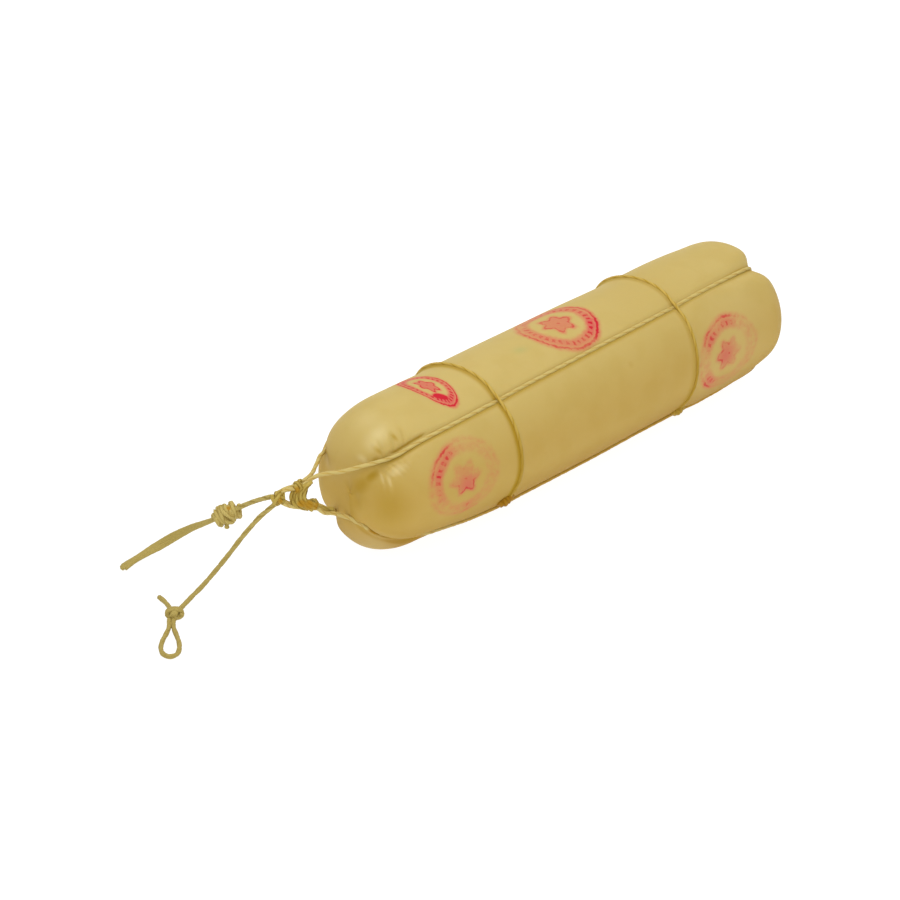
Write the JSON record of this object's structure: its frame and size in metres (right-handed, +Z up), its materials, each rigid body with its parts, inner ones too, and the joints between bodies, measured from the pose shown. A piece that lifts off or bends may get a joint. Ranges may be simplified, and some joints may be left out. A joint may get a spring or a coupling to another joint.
{
  "type": "provolone cheese",
  "caption": "Long salame-shaped provolone in a waxy casing, bound with twine that is knotted in front of its end and leaves loose tails to hang it by.",
  "frame": {"origin": "on the surface the cheese lies on, under the middle of the tied cheese without its loose tails", "axes": "+X along the cheese from the knotted end to the crossed end, +Z up"},
  "size_m": [0.6597, 0.1907, 0.1239],
  "materials": {
    "casing": "thin waxy casing over pale yellow cheese, satin gloss",
    "twine": "laid natural-fibre twine, dull with a slight waxy sheen"
  },
  "bodies": {
    "root": {"cheese": "casing", "string_loop_a": "twine", "string_loop_b": "twine", "hoop_near": "twine", "hoop_far": "twine", "gather_bundle": "twine", "gather_knot": "twine", "tail_plain": "twine", "stopper_knot": "twine", "tail_frayed": "twine", "tail_loop": "twine", "loop_knot": "twine", "hanging_loop": "twine", "loop_stub": "twine"}
  },
  "joints": []
}
